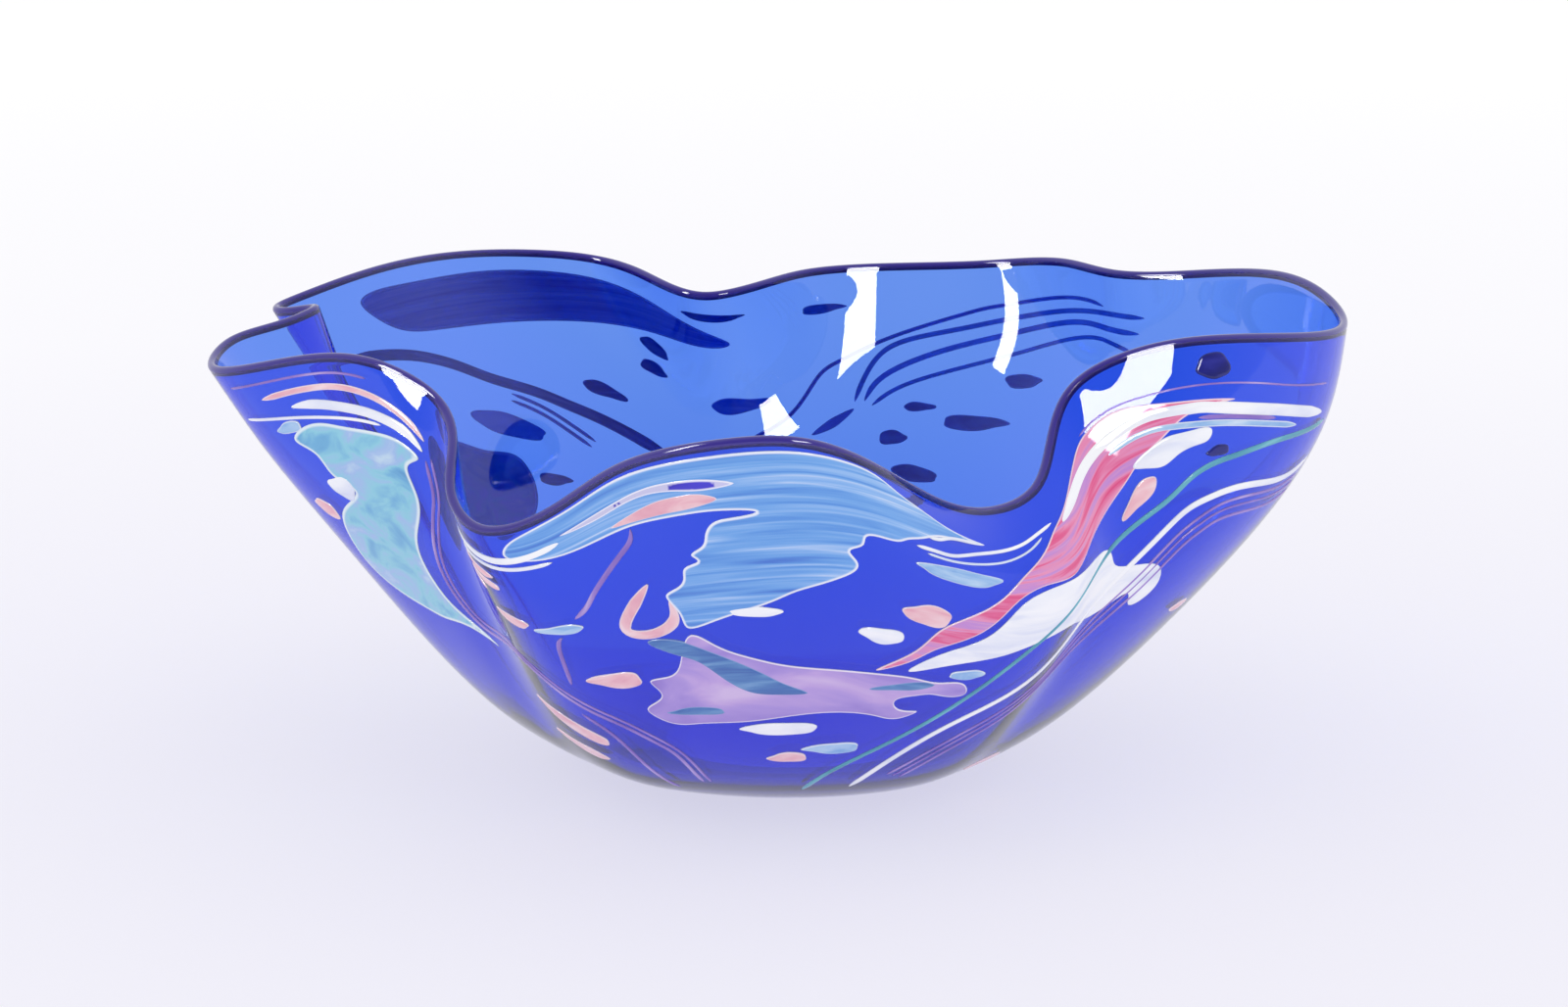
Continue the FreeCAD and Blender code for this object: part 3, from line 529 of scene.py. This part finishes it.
def lip_ring(run, angle, radius):
    """Ring of points round the lip's centre line: angle 0 is outside, a quarter turn is on top."""
    across = normal(run, np.ones_like(run))
    round_bowl, up_wall = slopes(run, np.ones_like(run))
    up = unit(np.cross(across, round_bowl))
    up = up * np.sign(np.sum(up * up_wall, axis=-1, keepdims=True))
    middle = wall_point(run, 1.0) - across * (RIM_WALL / 2)
    return middle + across * (radius * math.cos(angle)) + up * (radius * math.sin(angle))


def body_rows(run):
    """Rings of points from the foot, up the outside, over the lip and down the inside."""
    shares = np.linspace(0, 1, ROWS + 1)
    rows = [wall_point(run, share) for share in shares]
    for k in range(1, LIP_ROWS):
        rows.append(lip_ring(run, math.pi * k / LIP_ROWS, RIM_WALL / 2))
    for share in shares[::-1]:
        ring = off(run, np.full_like(run, share), np.full_like(run, -thickness(share)))
        if share == 0:
            ring[:, 2] = BASE_THICKNESS
        rows.append(ring)
    return rows


def build_body():
    run = np.arange(RUNS) / RUNS
    rows = body_rows(run)
    points = np.concatenate(rows + [rows[0].mean(0, keepdims=True),
                                    rows[-1].mean(0, keepdims=True)])
    faces = []
    for k in range(len(rows) - 1):
        faces += ring_faces(k * RUNS, (k + 1) * RUNS, RUNS)
    foot = len(rows) * RUNS
    last = (len(rows) - 1) * RUNS
    for i in range(RUNS):
        ahead = (i + 1) % RUNS
        faces.append((foot, ahead, i))
        faces.append((foot + 1, last + i, last + ahead))
    return mesh_object("bowl_wall", points, faces)


def build_bead():
    """Closed round bead all along the lip, which carries the lip's painted shade."""
    run = np.arange(RUNS) / RUNS
    radius = RIM_WALL / 2 + BEAD_PROUD
    points = np.concatenate([lip_ring(run, 2 * math.pi * k / BEAD_SIDES, radius)
                             for k in range(BEAD_SIDES)])
    faces = []
    for k in range(BEAD_SIDES):
        faces += ring_faces(k * RUNS, (k + 1) % BEAD_SIDES * RUNS, RUNS)
    return mesh_object("lip_bead", points, faces)


def chart(places):
    return np.asarray(places, float) * CHART


def to_wall(flat):
    """Run and share of chart points."""
    return flat[:, 0] / CHART[0] / 360.0, flat[:, 1] / CHART[1] / 100.0


def closed_outline(corners, step=0.8):
    """Points a step apart round a closed outline through corners, with tight bends kept."""
    points = chart(corners)
    area = np.sum(points[:, 0] * np.roll(points[:, 1], -1) -
                  points[:, 1] * np.roll(points[:, 0], -1))
    if area < 0:
        points = points[::-1]
    gaps = np.linalg.norm(np.roll(points, -1, axis=0) - points, axis=1)
    places = np.concatenate([[0.0], np.cumsum(gaps)[:-1]])
    curve = spline(places, points, gaps.sum())
    count = max(12, int(gaps.sum() / step))
    return curve(np.arange(count) * gaps.sum() / count)


def inside(polygon, points):
    """Which points lie inside a polygon."""
    found = np.zeros(len(points), bool)
    ahead = np.roll(polygon, -1, axis=0)
    for a, b in zip(polygon, ahead):
        crosses = (a[1] > points[:, 1]) != (b[1] > points[:, 1])
        place = a[0] + (points[:, 1] - a[1]) / (b[1] - a[1] + 1e-12) * (b[0] - a[0])
        found ^= crosses & (points[:, 0] < place)
    return found


def distance(outline, points):
    """Distance from points to the nearest side of an outline."""
    best = np.full(len(points), 1e9)
    for a, b in zip(outline, np.roll(outline, -1, axis=0)):
        side = b - a
        along = np.clip(((points - a) @ side) / (side @ side + 1e-12), 0, 1)
        best = np.minimum(best, np.linalg.norm(points - a - along[:, None] * side, axis=1))
    return best


def plate(outline, height, cell):
    """Thin melted plate on the wall inside an outline: points, faces and layout."""
    low, high = outline.min(0), outline.max(0)
    columns = np.arange(low[0], high[0], cell)
    rows = np.arange(low[1], high[1], cell * ROW_STEP)
    grid = np.array([(x + (cell / 2 if k % 2 else 0), y)
                     for k, y in enumerate(rows) for x in columns])
    side = np.roll(outline, -1, axis=0) - np.roll(outline, 1, axis=0)
    inward = unit(np.stack([-side[:, 1], side[:, 0]], -1))
    inner = [outline]
    for gap in EDGE_RINGS:
        ring = outline + inward * gap
        ring = ring[inside(outline, ring)]
        inner.append(ring[distance(outline, ring) > gap * 0.85])
    if len(grid):
        grid = grid[inside(outline, grid)]
        inner.append(grid[distance(outline, grid) > CLEAR_OF_EDGE])
    flat = np.concatenate(inner)
    loop = list(range(len(outline)))
    edges = [(i, (i + 1) % len(loop)) for i in loop]
    made = geometry.delaunay_2d_cdt([Vector(p) for p in flat], edges, [loop], 1, 1e-5)
    flat = np.array([tuple(p) for p in made[0]])
    triangles = [tuple(face) for face in made[2]]
    return solid_from(flat, triangles, outline, height)


def solid_from(flat, triangles, outline, height):
    """Closed plate from a flat triangle net, domed at its edge and sunk into the wall."""
    edge = distance(outline, flat)
    run, share = to_wall(flat)
    dome = height * np.sqrt(1 - (1 - np.clip(edge / ROUNDED, 0, 1)) ** 2)
    top = off(run, share, dome)
    bottom = off(run, share, np.full(len(flat), -SUNK))
    count = len(flat)
    used = {}
    for face in triangles:
        for a, b in zip(face, face[1:] + face[:1]):
            used[(a, b)] = True
    faces = list(triangles)
    faces += [tuple(count + i for i in face[::-1]) for face in triangles]
    faces += [(a, count + a, count + b, b) for a, b in used if (b, a) not in used]
    lay = np.column_stack([flat, edge])
    return np.concatenate([top, bottom]), faces, np.concatenate([lay, lay])


def strand(route, offset, width, height):
    """Low rounded thread beside a route, tapered to its ends."""
    places = np.arange(len(route))
    path = spline(places, chart(route))
    fine = np.linspace(0, len(route) - 1, 40 * len(route))
    spread = path(fine)
    lengths = np.concatenate([[0], np.cumsum(np.linalg.norm(np.diff(spread, axis=0), axis=1))])
    total = lengths[-1]
    count = max(8, int(total / STATION))
    along = np.linspace(0, total, count + 1)
    at = np.interp(along, lengths, fine)
    run, share = to_wall(path(at))
    back = wall_point(*to_wall(path(at - 0.02)))
    ahead = wall_point(*to_wall(path(at + 0.02)))
    way = unit(ahead - back)
    round_bowl, up_wall = slopes(run, share)
    level = unit(round_bowl)
    rise = unit(up_wall - level * np.sum(up_wall * level, -1, keepdims=True))
    left = unit(np.cross(normal(run, share), way))
    taper = np.clip(np.minimum(along, total - along) / (width * TAPER), 0, 1)
    half = width / 2 * np.sqrt(np.maximum(taper, 0.02))
    across = np.linspace(-1, 1, THREAD_COLUMNS)
    gap = offset + half[:, None] * across
    aside = np.sum(left * level, -1)[:, None] * gap
    up = np.sum(left * rise, -1)[:, None] * gap
    share_step = up / np.sum(up_wall * rise, -1)[:, None]
    lean = np.sum(up_wall * level, -1)[:, None]
    run_step = (aside - share_step * lean) / np.linalg.norm(round_bowl, axis=-1)[:, None]
    runs = run[:, None] + run_step
    shares = np.minimum(share[:, None] + share_step, TOP_SHARE)
    crown = height * np.sqrt(np.maximum(1 - across ** 2, 0))
    lift = crown * np.minimum(half / half.max(), 1)[:, None]
    top = off(runs, shares, lift)
    bottom = off(runs, shares, np.full(runs.shape, -SUNK))
    return loft(top, bottom, along, gap, half)


def loft(top, bottom, along, gap, half):
    """Closed strip from its top and bottom nets of points."""
    stations, columns = top.shape[:2]
    faces = []
    base = stations * columns
    for i in range(stations - 1):
        for k in range(columns - 1):
            a = i * columns + k
            quad = (a, a + columns, a + columns + 1, a + 1)
            faces.append(quad[::-1])
            faces.append(tuple(base + n for n in quad))
    for i in range(stations - 1):
        a = i * columns
        b = a + columns - 1
        faces.append((a, a + columns, base + a + columns, base + a)[::-1])
        faces.append((b, b + columns, base + b + columns, base + b))
    for k in range(columns - 1):
        a = k
        b = (stations - 1) * columns + k
        faces.append((a, base + a, base + a + 1, a + 1)[::-1])
        faces.append((b, base + b, base + b + 1, b + 1))
    far = np.broadcast_to(along[:, None], gap.shape)
    edge = np.abs(half[:, None]) - np.abs(gap - gap.mean(1, keepdims=True))
    lay = np.stack([far, gap, np.maximum(edge, 0)], -1).reshape(-1, 3)
    points = np.concatenate([top.reshape(-1, 3), bottom.reshape(-1, 3)])
    return points, faces, np.concatenate([lay, lay])


def chip_outline(turn, share, length, width, tilt, seed):
    """Lumpy rounded chip, in chart mm, a little fatter at one end."""
    run, up_share = np.array([turn / 360.0]), np.array([share / 100.0])
    round_bowl, up_wall = slopes(run, up_share)
    level = unit(round_bowl)
    rise = unit(up_wall - level * np.sum(up_wall * level, -1, keepdims=True))
    count = max(24, int((length + width) * 2.2))
    angle = np.linspace(0, 2 * np.pi, count, endpoint=False)
    lumps = 1 + 0.06 * np.sin(3 * angle + seed) + 0.04 * np.sin(5 * angle + 2.3 * seed)
    along = length / 2 * np.cos(angle) * lumps
    across = width / 2 * np.sin(angle) * (1 + 0.25 * np.cos(angle)) * lumps
    cosine, sine = math.cos(math.radians(tilt)), math.sin(math.radians(tilt))
    aside, up = along * cosine - across * sine, along * sine + across * cosine
    share_step = up / np.sum(up_wall * rise)
    run_step = (aside - share_step * np.sum(up_wall * level)) / np.linalg.norm(round_bowl)
    return np.column_stack([(turn + run_step * 360) * CHART[0],
                            (share + share_step * 100) * CHART[1]])


def joined(parts):
    """One set of points, faces and layout from several."""
    points, faces, lay, start = [], [], [], 0
    for part_points, part_faces, part_lay in parts:
        points.append(part_points)
        lay.append(part_lay)
        faces += [tuple(start + i for i in face) for face in part_faces]
        start += len(part_points)
    return np.concatenate(points), faces, np.concatenate(lay)


# ---------------------------------------------------------------- materials

IOR = 1.5
GLOSS = 0.06                     # roughness of fused glass
DEPTH_COLOUR = (0.0, 0.40, 0.955, 1)
DEPTH_DENSITY = 560.0            # how fast the wall's colour deepens, per metre
LIP_PAINTED_SHADE_COLOUR = (58, 46, 140)       # as seen: painted shade, the dark look of the thick clear lip
STREAK_PLACES = (0.25, 0.4, 0.5, 0.6, 0.75)   # of a glass's colours on the noise
STREAK_DETAIL = 4.0
STREAK_TWIST = 0.6


def new_material(name):
    """A material, its nodes, its links and its surface shader."""
    material = bpy.data.materials.new(name)
    material.use_nodes = True
    nodes = material.node_tree.nodes
    return material, nodes, material.node_tree.links, nodes["Principled BSDF"]


def linear(colour):
    """Scene colour from a colour as seen, 0 to 255."""
    parts = [channel / 255 for channel in colour]
    return [p / 12.92 if p <= 0.04045 else ((p + 0.055) / 1.055) ** 2.4 for p in parts] + [1.0]


def clear_glass():
    """Cobalt glass: clear surface, with the colour in its depth."""
    material, nodes, links, shader = new_material("cobalt_glass")
    shader.inputs["Base Color"].default_value = (1, 1, 1, 1)
    shader.inputs["Roughness"].default_value = 0.0
    shader.inputs["IOR"].default_value = IOR
    shader.inputs["Transmission Weight"].default_value = 1.0
    depth = nodes.new("ShaderNodeVolumeAbsorption")
    depth.inputs["Color"].default_value = DEPTH_COLOUR
    depth.inputs["Density"].default_value = DEPTH_DENSITY
    links.new(depth.outputs["Volume"], nodes["Material Output"].inputs["Volume"])
    return material


def coloured_glass(name):
    """Opaque streaky glass, with a paler cut edge."""
    colours, stretch, edge_colour, edge_width = GLASS[name]
    material, nodes, links, shader = new_material(name + "_glass")
    lay = nodes.new("ShaderNodeAttribute")
    lay.attribute_name = "lay"
    stretched = nodes.new("ShaderNodeMapping")
    stretched.inputs["Scale"].default_value = (stretch[0], stretch[1], 0)
    links.new(lay.outputs["Vector"], stretched.inputs["Vector"])
    noise = nodes.new("ShaderNodeTexNoise")
    noise.inputs["Scale"].default_value = 1.0
    noise.inputs["Detail"].default_value = STREAK_DETAIL
    noise.inputs["Distortion"].default_value = STREAK_TWIST
    links.new(stretched.outputs["Vector"], noise.inputs["Vector"])
    ramp = nodes.new("ShaderNodeValToRGB")
    steps = ramp.color_ramp.elements
    steps[0].position, steps[1].position = STREAK_PLACES[0], STREAK_PLACES[-1]
    for place in STREAK_PLACES[1:-1]:
        steps.new(place)
    for step, colour in zip(steps, colours):
        step.color = linear(colour)
    links.new(noise.outputs["Fac"], ramp.inputs["Fac"])
    base = ramp.outputs["Color"]
    if edge_colour:
        split = nodes.new("ShaderNodeSeparateXYZ")
        links.new(lay.outputs["Vector"], split.inputs["Vector"])
        near = nodes.new("ShaderNodeMapRange")
        near.inputs["From Min"].default_value = edge_width * 0.5
        near.inputs["From Max"].default_value = edge_width
        near.inputs["To Min"].default_value = 1.0
        near.inputs["To Max"].default_value = 0.0
        links.new(split.outputs["Z"], near.inputs["Value"])
        mix = nodes.new("ShaderNodeMix")
        mix.data_type = "RGBA"
        links.new(near.outputs["Result"], mix.inputs["Factor"])
        links.new(base, mix.inputs[6])
        mix.inputs[7].default_value = linear(edge_colour)
        base = mix.outputs[2]
    links.new(base, shader.inputs["Base Color"])
    shader.inputs["Roughness"].default_value = GLOSS
    shader.inputs["IOR"].default_value = IOR
    return material


# ---------------------------------------------------------------- assembly

SHARD_HEIGHT = 0.15    # how far a shard's middle stands out of the wall
TRAIL_HEIGHT = 0.35    # the same for a leaf, thread or chip


def make_pieces():
    made = {}
    for name, corners in SHARDS.items():
        made[name] = plate(closed_outline(corners), SHARD_HEIGHT, CELL)
    for name, corners in LEAVES.items():
        made[name] = plate(closed_outline(corners), TRAIL_HEIGHT, CELL)
    for name, (route, strands) in CANES.items():
        made[name] = joined([strand(route, offset, width, TRAIL_HEIGHT)
                             for offset, width in strands])
    for name, chips in CHIPS.items():
        plates = []
        for number, chip in enumerate(chips):
            outline = chip_outline(*chip, seed=number + len(name))
            plates.append(plate(outline, TRAIL_HEIGHT, CELL))
        made[name] = joined(plates)
    materials = {name: coloured_glass(name) for name in GLASS}
    for name, (points, faces, lay) in made.items():
        glass, slot = PIECE_GLASS[name]
        piece = mesh_object(name + "_glass", points, faces, lay)
        piece.data.materials.append(materials[glass])
        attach(piece, "root")
        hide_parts(name)


def make_bead():
    """Opaque bead on the lip, which stands for the body's lip beside the clear wall: its flat dark
    violet is painted shade, the dark look of light's long path through the thick clear lip.
    """
    bead = build_bead()
    material, _, _, shader = new_material("lip_painted_shade")
    # Painted shade: the dark of the thick clear lip, as a flat opaque colour.
    shader.inputs["Base Color"].default_value = linear(LIP_PAINTED_SHADE_COLOUR)
    shader.inputs["Roughness"].default_value = GLOSS
    shader.inputs["IOR"].default_value = IOR
    bead.data.materials.append(material)
    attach(bead, "root")
    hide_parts("bowl_body")


def make_body():
    body = build_body()
    body.data.materials.append(clear_glass())
    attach(body, "root")
    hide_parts("bowl_body")


# ---------------------------------------------------------------- studio

# Most of the floor's brightness is a glow of painted light, which no shadow takes away.
FLOOR_SHADE = 0.25     # part of the floor's brightness that shadows can take away
FLOOR_REACH = 9.0      # m from the middle to each side
FLOOR_FADE = 3.0       # m from the bowl at which the painted shade round it has faded and the floor is white
# Colours of the floor's glow from the bowl outwards: painted lavender shade round the bowl, then
# painted light up to white.
FLOOR_PAINTED_SHADE_NEAR = (236, 234, 247)
FLOOR_PAINTED_LIGHT_MIDDLE = (247, 246, 252)
FLOOR_PAINTED_LIGHT_FAR = (254, 254, 254)

# Name, place, width, height, power.
SOFTBOXES = [
    ("right_softbox", (0.93, -1.05, 0.67), 0.5, 0.42, 14.5),
    ("left_softbox", (-1.36, -0.66, 0.75), 0.3, 1.1, 24),
]
SOFTBOX_AIM = (0, 0, 0.1)

WORLD_FRONT = -0.7     # where reflections of the room are dimmest, towards the camera
WORLD_BACK = 0.3       # where they are at full brightness
WORLD_DIM = 0.15


def make_floor():
    """Pale table that glows with painted light: painted lavender shade round the bowl, lightening
    to white away from it.
    """
    size = FLOOR_REACH
    corners = [(-size, -size, 0), (size, -size, 0), (size, size, 0), (-size, size, 0)]
    floor = mesh_object("floor", np.array(corners) / MM, [(0, 1, 2, 3)])
    material, nodes, links, shader = new_material("floor_painted_light")
    shader.inputs["Roughness"].default_value = 0.9
    shader.inputs["Specular IOR Level"].default_value = 0.1
    shader.inputs["Base Color"].default_value = (FLOOR_SHADE, FLOOR_SHADE, FLOOR_SHADE, 1)
    # The floor glows with painted light; only its lit part can be shadowed.
    shader.inputs["Emission Strength"].default_value = 1 - FLOOR_SHADE
    where = nodes.new("ShaderNodeTexCoord")
    far = nodes.new("ShaderNodeVectorMath")
    far.operation = "LENGTH"
    links.new(where.outputs["Object"], far.inputs[0])
    ramp = nodes.new("ShaderNodeValToRGB")
    scaled = nodes.new("ShaderNodeMapRange")
    scaled.inputs["From Max"].default_value = FLOOR_FADE
    links.new(far.outputs["Value"], scaled.inputs["Value"])
    links.new(scaled.outputs["Result"], ramp.inputs["Fac"])
    steps = ramp.color_ramp.elements
    steps[0].position, steps[0].color = 0.08, linear(FLOOR_PAINTED_SHADE_NEAR)
    steps[1].position, steps[1].color = 1.0, linear(FLOOR_PAINTED_LIGHT_FAR)
    middle = steps.new(0.35)
    middle.color = linear(FLOOR_PAINTED_LIGHT_MIDDLE)
    # Painted shade near the bowl and painted light further out, as the glow's colour.
    links.new(ramp.outputs["Color"], shader.inputs["Emission Color"])
    floor.data.materials.append(material)


def make_world():
    """White room, whose front is dimmer in reflections."""
    world = bpy.data.worlds.new("studio")
    world.use_nodes = True
    nodes, links = world.node_tree.nodes, world.node_tree.links
    where = nodes.new("ShaderNodeTexCoord")
    split = nodes.new("ShaderNodeSeparateXYZ")
    links.new(where.outputs["Generated"], split.inputs["Vector"])
    front = nodes.new("ShaderNodeMapRange")
    front.inputs["From Min"].default_value = WORLD_FRONT
    front.inputs["From Max"].default_value = WORLD_BACK
    front.inputs["To Min"].default_value = WORLD_DIM
    links.new(split.outputs["Y"], front.inputs["Value"])
    path = nodes.new("ShaderNodeLightPath")
    mix = nodes.new("ShaderNodeMix")
    links.new(path.outputs["Is Glossy Ray"], mix.inputs["Factor"])
    mix.inputs[2].default_value = 1.0
    links.new(front.outputs["Result"], mix.inputs[3])
    links.new(mix.outputs[0], nodes["Background"].inputs["Strength"])
    nodes["Background"].inputs["Color"].default_value = (1, 1, 1, 1)
    bpy.context.scene.world = world


def softbox(name, place, width, height, power):
    """Softbox that shows only in reflections."""
    light = bpy.data.lights.new(name, "AREA")
    light.shape = "RECTANGLE"
    light.size, light.size_y = width, height
    light.energy = power
    lamp = bpy.data.objects.new(name, light)
    lamp.location = place
    lamp.rotation_euler = (Vector(SOFTBOX_AIM) - Vector(place)).to_track_quat("-Z", "Y").to_euler()
    lamp.visible_diffuse = False
    lamp.visible_camera = False
    lamp.visible_transmission = False
    bpy.context.scene.collection.objects.link(lamp)


CAMERA_TILT = math.radians(12)
CAMERA_DISTANCE = 1.4
CAMERA_LENS = 85
SENSOR_WIDTH = 36
CAMERA_TARGET = (-0.003, 0.0, 0.100)


def make_camera():
    data = bpy.data.cameras.new("camera")
    data.lens, data.sensor_width = CAMERA_LENS, SENSOR_WIDTH
    camera = bpy.data.objects.new("camera", data)
    back = Vector((0, -math.cos(CAMERA_TILT), math.sin(CAMERA_TILT)))
    camera.location = Vector(CAMERA_TARGET) + back * CAMERA_DISTANCE
    camera.rotation_euler = back.to_track_quat("Z", "Y").to_euler()
    bpy.context.scene.collection.objects.link(camera)
    bpy.context.scene.camera = camera


def make_light_paths():
    cycles = bpy.context.scene.cycles
    cycles.max_bounces = 32
    cycles.transmission_bounces = 32
    cycles.glossy_bounces = 16
    cycles.diffuse_bounces = 3
    cycles.sample_clamp_indirect = 8.0


make_body()
make_pieces()
make_bead()
make_floor()
make_world()
for box in SOFTBOXES:
    softbox(*box)
make_camera()
make_light_paths()
bpy.context.scene.view_settings.view_transform = "Standard"
